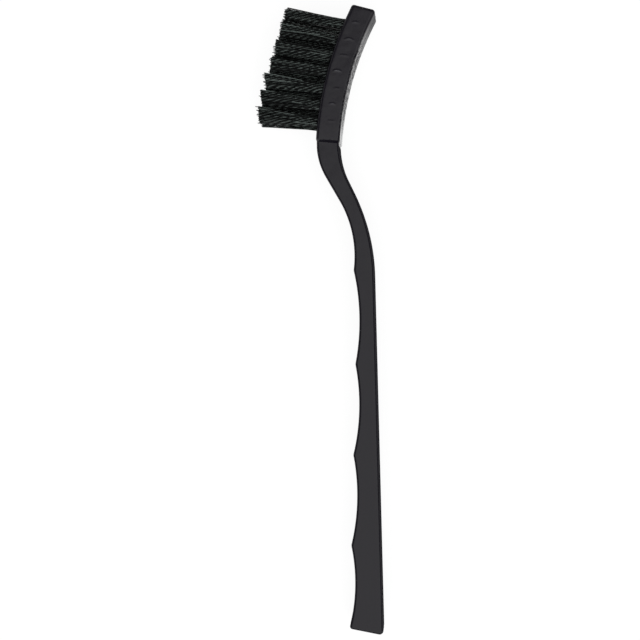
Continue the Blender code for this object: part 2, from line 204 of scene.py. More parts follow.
def add_node(tree, kind, inputs=None, **settings):
    """Add a node. Each input is a value, a socket, or a node, whose first output is then linked. Where
    several inputs have one name, the key is the input's number."""
    node = tree.nodes.new(kind)
    for name, value in settings.items():
        setattr(node, name, value)
    for key, value in (inputs or {}).items():
        if isinstance(value, bpy.types.Node):
            value = next(output for output in value.outputs if output.enabled)
        if isinstance(value, bpy.types.NodeSocket):
            tree.links.new(value, node.inputs[key])
        else:
            node.inputs[key].default_value = value
    return node


def new_material(name):
    """A material with an empty node tree."""
    material = bpy.data.materials.new(name)
    material.use_nodes = True
    material.node_tree.nodes.clear()
    return material


def carbon_streaks(tree, place, dark, pale):
    """The patches, the tone from 0 to 1, and the colour that the carbon filling gives the polypropylene."""
    # Flow streaks about 0.9 mm wide and 30 mm long, along the handle.
    streak_place = add_node(tree, "ShaderNodeMapping", {"Vector": place, "Scale": (33, 1100, 1100)})
    streaks = add_node(
        tree, "ShaderNodeTexNoise", {"Vector": streak_place, "Scale": 1.0, "Detail": 3.0, "Roughness": 0.6}
    )
    # Cloudy patches of about 6 mm, where the skin cooled against the mould at different rates.
    clouds = add_node(tree, "ShaderNodeTexNoise", {"Vector": place, "Scale": 160.0, "Detail": 2.0})
    tone = add_node(
        tree,
        "ShaderNodeMix",
        {0: 0.4, 2: streaks.outputs["Fac"], 3: clouds.outputs["Fac"]},
        data_type="FLOAT",
    )
    colour = add_node(
        tree, "ShaderNodeMix", {0: tone, 6: linear(dark), 7: linear(pale)}, data_type="RGBA"
    )
    return clouds, tone, colour


def moulded_black_polypropylene():
    """Injection-moulded polypropylene, black and conductive from its carbon filling, which shows as faint
    streaks along the flow. The lightly spark-eroded mould leaves a fine satin on the broad sides. Its
    polished edges, and the polished faces round the head, leave a gloss, but for a pebbled part of the
    head's back, where it is worn. The ridges that the anchors push up on the sides are painted paler: a
    painted highlight."""
    material = new_material("moulded_black_polypropylene")
    tree = material.node_tree
    place = add_node(tree, "ShaderNodeTexCoord")
    clouds, tone, colour = carbon_streaks(tree, place.outputs["Object"], "#0d0b11", "#17141c")
    satin = add_node(
        tree,
        "ShaderNodeMapRange",
        {"Value": tone, "From Min": 0.3, "From Max": 0.7, "To Min": 0.28, "To Max": 0.36},
    )
    # The gloss comes in where the surface turns away from the broad sides.
    facing = add_node(tree, "ShaderNodeSeparateXYZ", {0: place.outputs["Normal"]})
    flatness = add_node(tree, "ShaderNodeMath", {0: facing.outputs["Z"]}, operation="ABSOLUTE")
    edge = add_node(tree, "ShaderNodeMapRange", {"Value": flatness, "From Min": 0.98, "From Max": 0.85})
    # The polish gives a roughness of 0.08, and is duller at the head's tip.
    where = add_node(tree, "ShaderNodeSeparateXYZ", {0: place.outputs["Object"]})
    polish = add_node(
        tree,
        "ShaderNodeMapRange",
        {
            "Value": where.outputs["X"],
            "From Min": POLISH_END_X,
            "From Max": DULL_TIP_X,
            "To Min": 0.08,
            "To Max": 0.5,
        },
    )
    # The pebbles are 0.9 mm apart, and fade out towards both ends of the head's back.
    pebbles = add_node(
        tree, "ShaderNodeTexNoise", {"Vector": place.outputs["Object"], "Scale": 1100.0, "Detail": 1.0}
    )
    pebbles = add_node(
        tree, "ShaderNodeMapRange", {"Value": pebbles.outputs["Fac"], "From Min": 0.38, "From Max": 0.62}
    )
    from_middle = add_node(
        tree, "ShaderNodeMath", {0: where.outputs["X"], 1: PEBBLED_MIDDLE_X}, operation="SUBTRACT"
    )
    from_middle = add_node(tree, "ShaderNodeMath", {0: from_middle}, operation="ABSOLUTE")
    worn = add_node(
        tree,
        "ShaderNodeMapRange",
        {"Value": from_middle, "From Min": PEBBLED_REACH, "From Max": FULLY_PEBBLED_REACH},
    )
    backwards = add_node(
        tree,
        "ShaderNodeMapRange",
        {"Value": facing.outputs["Y"], "From Min": -0.3, "From Max": -0.6, "To Max": worn},
    )
    pebbles = add_node(tree, "ShaderNodeMath", {0: pebbles, 1: backwards}, operation="MULTIPLY")
    polish = add_node(tree, "ShaderNodeMix", {0: pebbles, 2: polish, 3: 0.55}, data_type="FLOAT")
    satin = add_node(tree, "ShaderNodeMix", {0: edge, 2: satin, 3: polish}, data_type="FLOAT")
    # How far a point lies from the brush's middle plane tells how proud it stands.
    proud = add_node(
        tree, "ShaderNodeMath", {0: where.outputs["Z"], 1: MIDDLE_HEIGHT}, operation="SUBTRACT"
    )
    proud = add_node(tree, "ShaderNodeMath", {0: proud}, operation="ABSOLUTE")
    # The ridges' tops are painted paler than the plastic, a painted highlight for the light they catch.
    painted_ridge_highlight = add_node(
        tree,
        "ShaderNodeMapRange",
        {
            "Value": proud,
            "From Min": HEAD_WIDTH / 2 + PALE_START,
            "From Max": HEAD_WIDTH / 2 + PALE_FULL,
        },
    )
    colour = add_node(
        tree,
        "ShaderNodeMix",
        {0: painted_ridge_highlight, 6: colour.outputs[2], 7: linear("#46464a")},
        data_type="RGBA",
    )
    # The eroded grain is 0.03 to 0.06 mm in fact, and is drawn at 0.14 mm so that it shows.
    grain = add_node(
        tree, "ShaderNodeTexNoise", {"Vector": place.outputs["Object"], "Scale": 7000.0, "Detail": 2.0}
    )
    grain_bump = add_node(
        tree, "ShaderNodeBump", {"Height": grain.outputs["Fac"], "Strength": 0.25, "Distance": 0.02 * MM}
    )
    # The skin is less even on the thick head than on the handle.
    uneven = add_node(
        tree,
        "ShaderNodeMapRange",
        {"Value": where.outputs["X"], "From Max": UNEVEN_SKIN_X, "To Min": 0.4, "To Max": 1.0},
    )
    cloud_bump = add_node(
        tree,
        "ShaderNodeBump",
        {"Height": clouds.outputs["Fac"], "Strength": uneven, "Distance": 0.2 * MM, "Normal": grain_bump},
    )
    pebble_bump = add_node(
        tree, "ShaderNodeBump", {"Height": pebbles, "Distance": 0.28 * MM, "Normal": cloud_bump}
    )
    shader = add_node(
        tree,
        "ShaderNodeBsdfPrincipled",
        {
            "Base Color": colour.outputs[2],
            "Roughness": satin,
            "Normal": pebble_bump,
            "IOR": 1.49,
            "Specular IOR Level": 0.22,
        },
    )
    add_node(tree, "ShaderNodeOutputMaterial", {"Surface": shader})
    return material


def dull_polypropylene_painted_sheen():
    """The same polypropylene on the handle's narrow faces, where the mould is eroded coarsely for grip: dull,
    with no gloss, and painted paler than the broad sides, a painted sheen in place of the gloss."""
    material = new_material("dull_polypropylene_painted_sheen")
    tree = material.node_tree
    place = add_node(tree, "ShaderNodeTexCoord").outputs["Object"]
    # The colour is painted paler than the broad sides': a painted sheen.
    _, tone, colour = carbon_streaks(tree, place, "#2a292c", "#343336")
    dulness = add_node(
        tree,
        "ShaderNodeMapRange",
        {"Value": tone, "From Min": 0.3, "From Max": 0.7, "To Min": 0.75, "To Max": 0.85},
    )
    # The grain here is about 0.15 mm, and more than three times as deep.
    grain = add_node(tree, "ShaderNodeTexNoise", {"Vector": place, "Scale": 6000.0, "Detail": 2.0})
    grain_bump = add_node(
        tree, "ShaderNodeBump", {"Height": grain.outputs["Fac"], "Strength": 0.6, "Distance": 0.03 * MM}
    )
    shader = add_node(
        tree,
        "ShaderNodeBsdfPrincipled",
        {
            "Base Color": colour.outputs[2],
            "Roughness": dulness,
            "Normal": grain_bump,
            "IOR": 1.49,
            "Specular IOR Level": 0.0,
        },
    )
    add_node(tree, "ShaderNodeOutputMaterial", {"Surface": shader})
    return material


def extruded_black_nylon():
    """Extruded nylon filament with carbon in its skin: near black, with painted grey-green highlights in wavy
    slanted lines across the strands, and a painted highlight along the whole length of a few."""
    material = new_material("extruded_black_nylon")
    tree = material.node_tree
    tone = add_node(tree, "ShaderNodeAttribute", attribute_name="strand_tone")
    place = add_node(tree, "ShaderNodeTexCoord")
    # Painted highlights: the strands are painted lighter in wavy lines 0.7 mm apart that run at a slant over
    # them all, for the light that crossing strands catch.
    mark_place = add_node(
        tree,
        "ShaderNodeMapping",
        {"Vector": place.outputs["Object"], "Rotation": (0, 0, math.radians(12))},
        vector_type="TEXTURE",
    )
    marks = add_node(
        tree,
        "ShaderNodeTexWave",
        {"Vector": mark_place, "Scale": 440.0, "Distortion": 2.6, "Detail": 1.0, "Detail Scale": 0.6},
        bands_direction="X",
    )
    marks = add_node(
        tree,
        "ShaderNodeMapRange",
        {"Value": marks.outputs["Fac"], "From Min": 0.45, "From Max": 1.0, "To Max": 0.9},
    )
    painted_highlight = add_node(
        tree,
        "ShaderNodeMapRange",
        {"Value": tone.outputs["Fac"], "From Min": 0.15, "From Max": 0.75, "To Max": marks},
    )
    # About one strand in twelve is painted light along its whole length, a painted highlight.
    gleam = add_node(
        tree, "ShaderNodeMapRange", {"Value": tone.outputs["Fac"], "From Min": 0.9, "From Max": 0.98}
    )
    painted_highlight = add_node(tree, "ShaderNodeMath", {0: painted_highlight, 1: gleam}, operation="MAXIMUM")
    # The painted highlights lighten the near-black colour of the strands.
    colour = add_node(
        tree,
        "ShaderNodeMix",
        {0: painted_highlight, 6: linear("#020303"), 7: linear("#5c6461")},
        data_type="RGBA",
    )
    gloss = add_node(
        tree, "ShaderNodeMapRange", {"Value": tone.outputs["Fac"], "To Min": 0.3, "To Max": 0.2}
    )
    # The draw marks along a strand are too fine to show. A slight unevenness of 0.5 mm stands for them.
    unevenness = add_node(
        tree, "ShaderNodeTexNoise", {"Vector": place.outputs["Object"], "Scale": 2000.0, "Detail": 1.0}
    )
    bump = add_node(
        tree, "ShaderNodeBump", {"Height": unevenness.outputs["Fac"], "Strength": 0.2, "Distance": 0.03 * MM}
    )
    shader = add_node(
        tree,
        "ShaderNodeBsdfPrincipled",
        {
            "Base Color": colour.outputs[2],
            "Roughness": gloss,
            "Normal": bump,
            "IOR": 1.53,
            "Specular IOR Level": 0.1,
        },
    )
    add_node(tree, "ShaderNodeOutputMaterial", {"Surface": shader})
    return material


def drawn_steel_wire():
    """Flat steel wire, drawn and cut: bright grey with fine lines along its length, across the brush."""
    material = new_material("drawn_steel_wire")
    tree = material.node_tree
    place = add_node(tree, "ShaderNodeTexCoord")
    # Drawing lines about 0.05 mm apart, 3 mm long.
    line_place = add_node(
        tree, "ShaderNodeMapping", {"Vector": place.outputs["Object"], "Scale": (20000, 20000, 330)}
    )
    lines = add_node(tree, "ShaderNodeTexNoise", {"Vector": line_place, "Scale": 1.0, "Detail": 2.0})
    shine = add_node(
        tree, "ShaderNodeMapRange", {"Value": lines.outputs["Fac"], "To Min": 0.22, "To Max": 0.42}
    )
    colour = add_node(
        tree,
        "ShaderNodeMix",
        {0: lines.outputs["Fac"], 6: linear("#a9a69f"), 7: linear("#c9c6bf")},
        data_type="RGBA",
    )
    shader = add_node(
        tree,
        "ShaderNodeBsdfPrincipled",
        {"Base Color": colour.outputs[2], "Metallic": 1.0, "Roughness": shine},
    )
    add_node(tree, "ShaderNodeOutputMaterial", {"Surface": shader})
    return material


def white_sweep_paper():
    """Matt white paper. It is pure white to the eye and in reflections, but for the brush's soft shadow."""
    material = new_material("white_sweep_paper")
    tree = material.node_tree
    paper = add_node(tree, "ShaderNodeBsdfDiffuse", {"Color": linear("#e8e8e8")})
    shaded = add_node(tree, "ShaderNodeBsdfDiffuse", {"Color": linear("#686868")})
    glow = add_node(tree, "ShaderNodeEmission", {"Strength": 0.9})
    white = add_node(tree, "ShaderNodeAddShader", {0: shaded, 1: glow})
    path = add_node(tree, "ShaderNodeLightPath")
    seen = add_node(
        tree,
        "ShaderNodeMath",
        {0: path.outputs["Is Camera Ray"], 1: path.outputs["Is Glossy Ray"]},
        operation="MAXIMUM",
    )
    seen = add_node(
        tree, "ShaderNodeMath", {0: seen, 1: path.outputs["Is Transmission Ray"]}, operation="MAXIMUM"
    )
    surface = add_node(tree, "ShaderNodeMixShader", {0: seen, 1: paper, 2: white})
    add_node(tree, "ShaderNodeOutputMaterial", {"Surface": surface})
    return material


def new_piece(name, mesh):
    """A new object in the scene with this mesh."""
    piece = bpy.data.objects.new(name, mesh)
    bpy.context.scene.collection.objects.link(piece)
    return piece


def mesh_piece(name, solid):
    """A new object with the mesh that this bmesh holds."""
    bmesh.ops.recalc_face_normals(solid, faces=solid.faces[:])
    mesh = bpy.data.meshes.new(name)
    solid.to_mesh(mesh)
    solid.free()
    return new_piece(name, mesh)


def settle(piece):
    """Turn the piece, with its modifiers, into a plain mesh."""
    graph = bpy.context.evaluated_depsgraph_get()
    live_mesh = piece.data
    piece.data = bpy.data.meshes.new_from_object(piece.evaluated_get(graph))
    piece.modifiers.clear()
    bpy.data.meshes.remove(live_mesh)


def combine(piece, operation, other):
    """Join the other solid to the piece, or cut it out, and remove it."""
    modifier = piece.modifiers.new(operation.title(), "BOOLEAN")
    modifier.operation = operation
    modifier.object = other
    settle(piece)
    bpy.data.objects.remove(other, do_unlink=True)


def along(angle):
    """The unit vector that leans from the y axis towards the head's tip by this angle."""
    return Vector((math.sin(angle), math.cos(angle)))


HEAD_CENTRE = Vector((HEEL_X, HEEL_FACE_HEIGHT)) - HEAD_FACE_RADIUS * along(HEEL_SLOPE)


def head_arc(radius, angle):
    """A point on a circle about the head's centre."""
    return HEAD_CENTRE + radius * along(angle)


def back_end(angle, lean):
    """The angle at which the line from the bristle face at the first angle, leaning by the second,
    comes out at the head's back."""
    start = HEAD_FACE_RADIUS * along(angle)
    half = start.dot(along(lean))
    depth = half - math.sqrt(half**2 - HEAD_FACE_RADIUS**2 + HEAD_BACK_RADIUS**2)
    end = start - depth * along(lean)
    return math.atan2(end.x, end.y)


def fillet(corner, before, after):
    """The points of the round that replaces a corner. Two rounds share the side between them by their
    radii."""
    to_before = before.point - corner.point
    to_after = after.point - corner.point
    half_angle = to_before.angle(to_after) / 2
    room_before = to_before.length * corner.radius / (corner.radius + before.radius)
    room_after = to_after.length * corner.radius / (corner.radius + after.radius)
    reach = min(corner.radius / math.tan(half_angle), ROUND_SHARE * min(room_before, room_after))
    bisector = (to_before.normalized() + to_after.normalized()).normalized()
    centre = corner.point + bisector * reach / math.cos(half_angle)
    spoke = corner.point + to_before.normalized() * reach - centre
    last_spoke = corner.point + to_after.normalized() * reach - centre
    turn = -spoke.angle_signed(last_spoke)
    steps = corner.steps
    return [centre + Matrix.Rotation(turn * step / steps, 2) @ spoke for step in range(steps + 1)]


def rounded_outline(corners):
    """The points of a closed outline, each with the rim radius there, after its corners are rounded. A
    rim is no larger than the round that it follows."""
    outline = []
    for index, corner in enumerate(corners):
        points, rim = [corner.point], corner.rim
        if corner.radius:
            points = fillet(corner, corners[index - 1], corners[(index + 1) % len(corners)])
            rim = min(rim, corner.radius)
        outline += [(point, rim) for point in points]
    return outline


def inward_at(outline, index):
    """The step that moves a point of an anticlockwise outline one unit inside both its sides."""
    point = outline[index][0]
    arriving = (point - outline[index - 1][0]).normalized()
    leaving = (outline[(index + 1) % len(outline)][0] - point).normalized()
    first = Vector((-arriving.y, arriving.x))
    second = Vector((-leaving.y, leaving.x))
    return (first + second) / (1 + first.dot(second))


def rim_rings(rim, width):
    """From the upper flat side to the lower one, how far each ring lies inside the outline and its height:
    two rounded rims with the mould's seam between them."""
    rings = []
    for step in range(RIM_STEPS + 1):
        turn = math.pi / 2 * step / RIM_STEPS
        rings.append((rim * (1 - math.sin(turn)), width / 2 - rim * (1 - math.cos(turn))))
    rings.append((0.0, SEAM_WIDTH / 2))
    lower = [(inset, -height) for inset, height in reversed(rings)]
    return rings + [(-SEAM_HEIGHT, 0.0)] + lower


def rounded_slab(outline, width):
    """A closed solid of this outline, with two flat sides, rounded rims and a seam."""
    solid = bmesh.new()
    columns = []
    for index, (point, rim) in enumerate(outline):
        inward = inward_at(outline, index)
        columns.append(
            [solid.verts.new((*(point + inward * inset), height)) for inset, height in rim_rings(rim, width)]
        )
    solid.faces.new([column[0] for column in columns])
    solid.faces.new([column[-1] for column in reversed(columns)])
    for index, column in enumerate(columns):
        for low, high in zip(range(len(column) - 1), range(1, len(column))):
            before = columns[index - 1]
            solid.faces.new((before[low], before[high], column[high], column[low]))
    return solid


def groove_points(start, end):
    """The points between two crests, on an arc that dips into the handle."""
    chord = end - start
    radius = chord.length**2 / (8 * GROOVE_DEPTH) + GROOVE_DEPTH / 2
    inwards = Vector((-chord.y, chord.x)).normalized()
    centre = start + chord / 2 + inwards * (GROOVE_DEPTH - radius)
    half_turn = math.asin(chord.length / (2 * radius))
    points = []
    for step in range(1, GROOVE_STEPS):
        turn = half_turn * (1 - 2 * step / GROOVE_STEPS)
        points.append(centre + Matrix.Rotation(turn, 2) @ inwards * radius)
    return points


def crest_points():
    """The crests along the handle's front, from the one below the neck to the butt's front corner."""
    taper = (BUTT_HEIGHT - GRIP_HEIGHT) / (GRIP_CRESTS * GRIP_PITCH)
    crests = [Vector((SHANK_X, SHANK_HEIGHT))]
    for number in range(GRIP_CRESTS, 0, -1):
        distance = number * GRIP_PITCH
        crests.append(Vector((distance, BUTT_HEIGHT - taper * distance)))
    butt_height = BUTT_HEIGHT / (1 + taper * math.tan(BUTT_SLANT))
    crests.append(Vector((butt_height * math.tan(BUTT_SLANT), butt_height)))
    return crests


def bend(x, y, radius, rim):
    """A corner of the handle's outline with a long round on it."""
    return Corner(Vector((x, y)), radius, BEND_STEPS, rim)


def handle_corners():
    """The handle's outline, along the back from the butt into the head and along the front again."""
    heel_back = head_arc(HEAD_BACK_RADIUS, back_end(HEEL_SLOPE, HEEL_END_LEAN))
    neck_back = heel_back.y + NECK_INSET
    neck_front = HEEL_FACE_HEIGHT - NECK_INSET
    neck_end = HEEL_X + NECK_ROOT
    corners = [
        Corner(Vector((0, 0)), BUTT_CORNER_RADIUS, CORNER_STEPS, BACK_RIM_RADIUS),
        bend(SHANK_X + BACK_LOWER_REACH, 0, BACK_LOWER_RADIUS, BACK_RIM_RADIUS),
        bend(HEEL_X - BACK_UPPER_REACH, neck_back, BACK_UPPER_RADIUS, BACK_RIM_RADIUS),
        bend(neck_end, neck_back, 0, BACK_RIM_RADIUS),
        bend(neck_end, neck_front, 0, FRONT_RIM_RADIUS),
        bend(HEEL_X - FRONT_UPPER_REACH, neck_front, FRONT_UPPER_RADIUS, FRONT_RIM_RADIUS),
        bend(SHANK_X + FRONT_LOWER_REACH, NECK_WAIST_HEIGHT, FRONT_LOWER_RADIUS, FRONT_RIM_RADIUS),
    ]
    crests = crest_points()
    for crest, next_crest in zip(crests, crests[1:]):
        corners.append(Corner(crest, CREST_RADIUS, CREST_STEPS, FRONT_RIM_RADIUS))
        corners += [Corner(point, 0, 0, FRONT_RIM_RADIUS) for point in groove_points(crest, next_crest)]
    corners.append(Corner(crests[-1], BUTT_CORNER_RADIUS, CORNER_STEPS, FRONT_RIM_RADIUS))
    return corners


def head_corners():
    """The head's outline, along the back from heel to tip and along the bristle face again."""
    back_heel = back_end(HEEL_SLOPE, HEEL_END_LEAN)
    back_tip = back_end(TIP_ANGLE, TIP_END_LEAN)
    edges = (
        (HEAD_BACK_RADIUS, back_heel, back_tip, HEEL_CORNER, TIP_BACK_CORNER, HEAD_BACK_RIM_RADIUS),
        (HEAD_FACE_RADIUS, TIP_ANGLE, HEEL_SLOPE, TIP_FACE_CORNER, HEEL_CORNER, HEAD_FACE_RIM_RADIUS),
    )
    corners = []
    for radius, first, last, first_round, last_round, rim in edges:
        for step in range(HEAD_STEPS + 1):
            angle = first + (last - first) * step / HEAD_STEPS
            corner_round = {0: first_round, HEAD_STEPS: last_round}.get(step, 0)
            corners.append(Corner(head_arc(radius, angle), corner_round, CORNER_STEPS, rim))
    corners[0] = corners[0]._replace(rim=HEAD_FACE_RIM_RADIUS)
    return corners


def tuft_lean(steps):
    """The lean of the tuft that stands this many pitches on from the first."""
    return HEEL_TUFT_LEAN + (TIP_TUFT_LEAN - HEEL_TUFT_LEAN) * steps / (TUFTS_IN_OUTER_ROW - 1)


def trimmed_length(root, lean):
    """The length at which a tuft meets the straight trim line through the tips of the two end tufts."""
    last = TUFTS_IN_OUTER_ROW - 1
    first_tip = head_arc(HEAD_FACE_RADIUS, FIRST_TUFT_ANGLE) + END_TUFT_LENGTH * along(tuft_lean(0))
    last_tip = head_arc(HEAD_FACE_RADIUS, LAST_TUFT_ANGLE) + END_TUFT_LENGTH * along(tuft_lean(last))
    trim = last_tip - first_tip
    return (first_tip - root).cross(trim) / along(lean).cross(trim)


def tuft_places():
    """Every place in the tuft field, row by row from the heel."""
    places = []
    for row in (-1, 0, 1):
        shift = 0 if row else 0.5
        for number in range(TUFTS_IN_OUTER_ROW - (row == 0)):
            steps = number + shift
            lean = tuft_lean(steps)
            root = head_arc(HEAD_FACE_RADIUS, FIRST_TUFT_ANGLE + steps * PITCH_ANGLE)
            turn = Euler((row * ROW_LEAN - math.pi / 2, 0, -lean))
            full_root = Vector((*root, row * ROW_PITCH))
            places.append(Place(row, number, full_root, turn, trimmed_length(root, lean)))
    return places


def place_matrix(place):
    """From a tuft's own lines, z up along it and y across the width, to the brush's."""
    return Matrix.Translation(place.root) @ place.turn.to_matrix().to_4x4()


def ridge_height(place, point):
    """How far the ridge over this tuft's anchor lifts the head's side at this point."""
    ridge = (NEAR_RIDGES if place.row > 0 else FAR_RIDGES)[place.number]
    ridge = Ridge(*[size * MM for size in ridge])
    local = place_matrix(place).inverted() @ Vector((point.x, point.y, place.root.z))
    reach = (local.z + ANCHOR_DEPTH + ridge.shift) / (ridge.length / 2)
    if abs(reach) >= 1:
        return 0.0
    crest = ridge.across + ridge.bow * (1 - 2 * reach**2)
    across = (local.x - crest) / (RIDGE_WIDTH / 2)
    slope = 1 + across if across < 0 else 1 - RIDGE_TIP_STEEPNESS * across
    return ridge.height * (1 - reach**2) * max(slope, 0.0)


def side_draw(point):
    """How far the head's side lies inside its plane at this point: near the heel, on a parabola that runs
    on as its tangent, near the bristle face, and on the heel's slope."""
    heel_share = max(1 - (point.x - HEEL_X) / HEEL_DRAW_LENGTH, 0.0)
    draw = HEEL_DRAW_IN * (heel_share**2 if heel_share < 0.5 else heel_share - 0.25)
    from_centre = Vector((point.x, point.y)) - HEAD_CENTRE
    face_share = max(1 - (HEAD_FACE_RADIUS - from_centre.length) / FACE_DRAW_WIDTH, 0.0)
    draw += FACE_DRAW_IN * face_share**2
    end_line = along(HEEL_END_LEAN)
    end_distance = (from_centre - HEAD_FACE_RADIUS * along(HEEL_SLOPE)).cross(end_line)
    return draw + (HEAD_WIDTH - HANDLE_WIDTH) / 2 * max(1 - end_distance / HEEL_STEP_WIDTH, 0.0)


def score_sides(solid, corners):
    """Cut the head's flat sides into small cells, which can then carry low relief."""
    lows = [min(corner.point[axis] for corner in corners) for axis in (0, 1)]
    highs = [max(corner.point[axis] for corner in corners) for axis in (0, 1)]
    for axis in (0, 1):
        normal = Vector((axis == 0, axis == 1, 0))
        for step in range(1, int((highs[axis] - lows[axis]) / SIDE_CELL)):
            flats = [face for face in solid.faces if abs(face.normal.z) > FLAT_FACING]
            edges = {edge for face in flats for edge in face.edges}
            verts = {vert for face in flats for vert in face.verts}
            bmesh.ops.bisect_plane(
                solid,
                geom=[*verts, *edges, *flats],
                plane_co=normal * (lows[axis] + step * SIDE_CELL),
                plane_no=normal,
            )


def relieve_sides(solid, places):
    """Raise the ridges on the head's sides, and draw the sides in towards their edges."""
    for vertex in solid.verts:
        side = 1 if vertex.co.z > 0 else -1
        height = abs(vertex.co.z)
        height -= side_draw(vertex.co) * height / (HEAD_WIDTH / 2)
        if abs(vertex.co.z) > HEAD_WIDTH / 2 - FLAT_MARGIN:
            height += sum(ridge_height(place, vertex.co) for place in places if place.row == side)
        vertex.co.z = side * height


def head_solid(places):
    """The head: a slab bent to one radius, with relief on its sides."""
    corners = head_corners()
    solid = rounded_slab(rounded_outline(corners), HEAD_WIDTH)
    solid.normal_update()
    score_sides(solid, corners)
    relieve_sides(solid, places)
    return solid


def hole_solids(places):
    """The blind holes with their chamfered mouths, each along the line of its own tuft. Their corners lie
    off the middle plane, so that none meets the seam."""
    solid = bmesh.new()
    profile = (
        (HOLE_RADIUS, -HOLE_DEPTH),
        (HOLE_RADIUS, -MOUTH_CHAMFER),
        (HOLE_RADIUS + MOUTH_CHAMFER + OVERRUN, OVERRUN),
    )
    for place in places:
        matrix = place_matrix(place)
        rings = []
        for radius, height in profile:
            ring = []
            for side in range(HOLE_SIDES):
                angle = 2 * math.pi * (side + 0.5) / HOLE_SIDES
                point = Vector((radius * math.cos(angle), radius * math.sin(angle), height))
                ring.append(solid.verts.new(matrix @ point))
            rings.append(ring)
        solid.faces.new(reversed(rings[0]))
        solid.faces.new(rings[-1])
        for lower, upper in zip(rings, rings[1:]):
            for side in range(HOLE_SIDES):
                solid.faces.new((lower[side - 1], lower[side], upper[side], upper[side - 1]))
    return solid


def put_in_frame(piece, shift):
    """Move the piece's mesh from the brush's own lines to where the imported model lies."""
    piece.data.transform(Matrix.Translation(shift))


def mesh_low(piece):
    """The lowest corner of the piece's mesh."""
    return Vector([min(vertex.co[axis] for vertex in piece.data.vertices) for axis in range(3)])


def build_moulding(places, satin, painted_sheen_plastic):
    """The one-piece moulding: handle, neck and head, with its tuft holes. The handle's narrow faces take
    the dull material with its painted sheen."""
    moulding = mesh_piece("handle_moulding", rounded_slab(rounded_outline(handle_corners()), HANDLE_WIDTH))
    combine(moulding, "UNION", mesh_piece("head", head_solid(places)))
    combine(moulding, "DIFFERENCE", mesh_piece("holes", hole_solids(places)))
    moulding.data.shade_smooth()
    moulding.data.set_sharp_from_angle(angle=SMOOTH_ANGLE)
    weighted = moulding.modifiers.new("Weighted normals", "WEIGHTED_NORMAL")
    weighted.keep_sharp = True
    settle(moulding)
    moulding.data.materials.clear()
    for material in (satin, painted_sheen_plastic):
        moulding.data.materials.append(material)
    # The narrow faces get the dull material, whose paler colour is a painted sheen.
    for face in moulding.data.polygons:
        narrow = abs(face.normal.z) < NARROW_FACING and face.center.x < HEEL_X - NECK_ROOT
        face.material_index = 1 if narrow else 0
    return moulding


# Bristles. How each tuft of an outer row differs from the straight trim and from its own line, from the
# heel: how much longer it is, how far its trimmed end rises towards the head's tip for each millimetre, how
# far its end sways that way, and half the width of its end. The middle row only follows their bow.
Trim = namedtuple("Trim", "longer rise sway spread")
OUTER_TRIM = (
    Trim(0.09 * MM, 0.16, 0.6 * MM, 2.7 * MM),
    Trim(0.67 * MM, 0.20, 0.6 * MM, 2.2 * MM),
    Trim(0.80 * MM, 0.24, 0.5 * MM, 2.1 * MM),
    Trim(0.48 * MM, 0.04, 0.5 * MM, 2.1 * MM),
    Trim(0.46 * MM, 0.09, 0.4 * MM, 2.25 * MM),
    Trim(0.27 * MM, -0.04, 0.8 * MM, 2.5 * MM),
    Trim(0.14 * MM, -0.07, 0.2 * MM, 1.7 * MM),
)
TRIM_BOW = 0.6 * MM
MIDDLE_ROW_RISE = 0.1
MIDDLE_ROW_SPREAD = 2.2 * MM
# Half the width of every end across the brush.
ROW_SPREAD = 1.9 * MM
STRANDS_IN_TUFT = 185
POINTS_IN_STRAND = 7
STRAND_SIDES = 4
STRAND_DIAMETER = 0.21 * MM
GOLDEN_ANGLE = math.pi * (3 - math.sqrt(5))
# In its hole a tuft is a round pack with a slit for the anchor, gathered to its fold.
PACK_RADIUS = 1.3 * MM
ANCHOR_SLIT = 0.15 * MM
FOLD_HEIGHT = -4.6 * MM
FOLD_GATHER = 0.5
# Outside it a tuft fans out by this power of its free length, and its strands twist round it, cross by this
# share and waver. Each strand reads the waver's noise along a lane of its own.
FAN_POWER = 0.6
TWIST = math.radians(-70)
CROSSING = 0.72
WAVER = 0.12 * MM
WAVES_PER_METRE = 60.0
WAVER_LANE = 7.3
# The trim leaves the ends uneven. A high power of a random share leaves only a few strays.
TRIM_SCATTER = 0.4 * MM
STRAY_LENGTH = 0.8 * MM
STRAY_POWER = 20.0
# The bristle tree's inputs, beside the tufts and the material.
BRISTLE_INPUTS = (
    ("Strands in a tuft", "NodeSocketInt", STRANDS_IN_TUFT),
    ("Points in a strand", "NodeSocketInt", POINTS_IN_STRAND),
    ("Strand radius", "NodeSocketFloat", STRAND_DIAMETER / 2),
    ("Pack radius", "NodeSocketFloat", PACK_RADIUS),
    ("Slit", "NodeSocketFloat", ANCHOR_SLIT),
    ("Fold height", "NodeSocketFloat", FOLD_HEIGHT),
    ("Fan", "NodeSocketFloat", FAN_POWER),
    ("Twist", "NodeSocketFloat", TWIST),
    ("Crossing", "NodeSocketFloat", CROSSING),
    ("Crossing seed", "NodeSocketInt", 11),
    ("Waver", "NodeSocketFloat", WAVER),
    ("Waves per metre", "NodeSocketFloat", WAVES_PER_METRE),
    ("Trim scatter", "NodeSocketFloat", TRIM_SCATTER),
    ("Stray length", "NodeSocketFloat", STRAY_LENGTH),
    ("Trim seed", "NodeSocketInt", 5),
)


def tuft_trim(place):
    """How this tuft's end differs from the straight trim and from the tuft's own line."""
    if place.row:
        return OUTER_TRIM[place.number]
    middle = (TUFTS_IN_OUTER_ROW - 1) / 2
    bow = 1 - ((place.number + 0.5 - middle) / middle) ** 2
    return Trim(TRIM_BOW * bow, MIDDLE_ROW_RISE, 0.0, MIDDLE_ROW_SPREAD)


def set_attribute(mesh, name, kind, values):
    """Give every point of the mesh its value of a new attribute."""
    attribute = mesh.attributes.new(name, kind, "POINT")
    for entry, value in zip(attribute.data, values):
        if kind == "FLOAT_VECTOR":
            entry.vector = value
        else:
            entry.value = value


